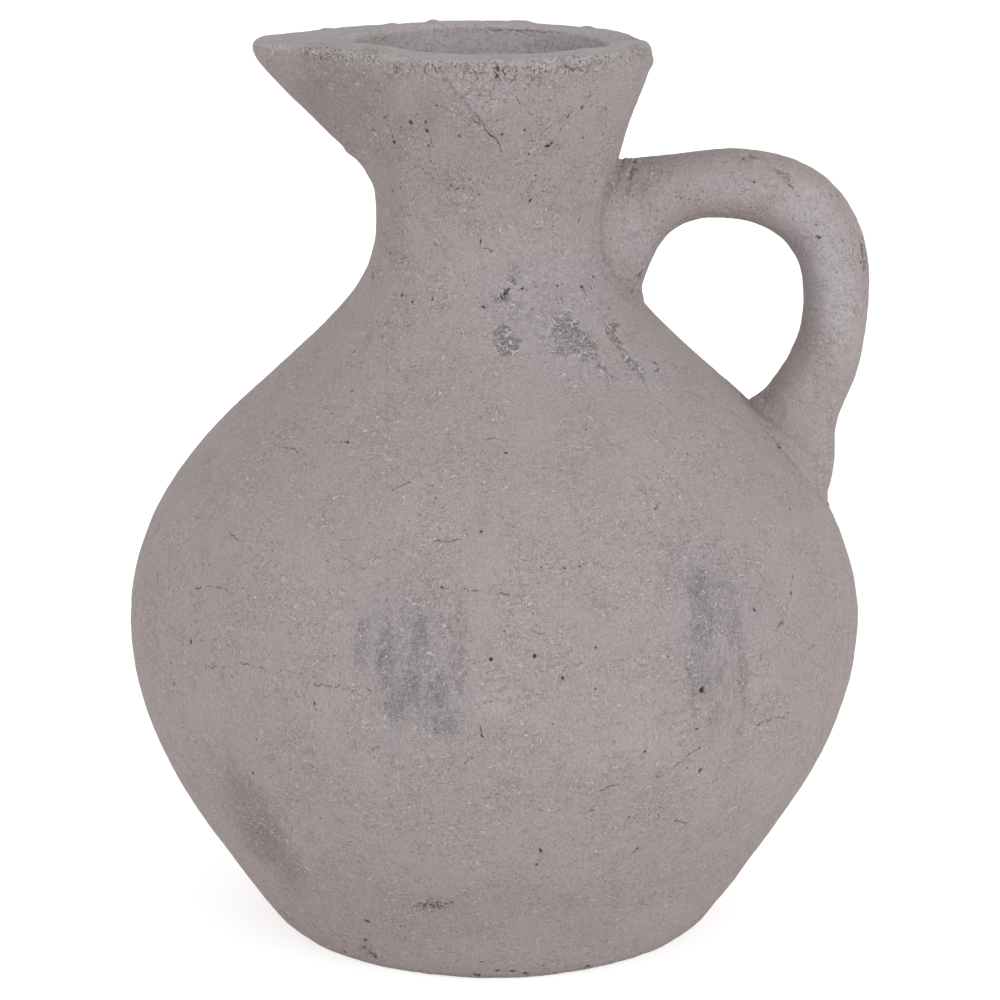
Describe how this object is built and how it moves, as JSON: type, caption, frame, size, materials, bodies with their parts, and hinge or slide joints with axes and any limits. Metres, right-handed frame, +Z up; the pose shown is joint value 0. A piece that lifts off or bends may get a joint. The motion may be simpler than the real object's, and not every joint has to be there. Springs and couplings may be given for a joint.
{
  "type": "jug",
  "caption": "Round-bellied stoneware jug with a waisted neck, a beaked pouring spout level with the rim, and a strap handle from neck to shoulder.",
  "frame": {"origin": "centre of the foot, on the plane that the jug stands on", "axes": "+Z up along the jug's axis, -X towards the spout's tip, +X towards the handle"},
  "size_m": [0.2508, 0.249, 0.3],
  "materials": {
    "body_clay": "rough unglazed stoneware, warm grey with bluish grey smoky patches",
    "rim_clay": "rough unglazed stoneware, pitted and chipped",
    "handle_clay": "rough unglazed stoneware, finger-smoothed",
    "luting_clay": "rough unglazed stoneware, smeared by hand"
  },
  "bodies": {
    "root": {"base_disc": "body_clay", "lower_bowl": "body_clay", "shoulder": "body_clay", "neck": "body_clay", "rim_coil": "rim_clay", "spout": "body_clay", "spout_heel_fillet": "luting_clay", "handle": "handle_clay", "handle_root_fillet": "luting_clay", "handle_foot_fillet": "luting_clay"}
  },
  "joints": []
}
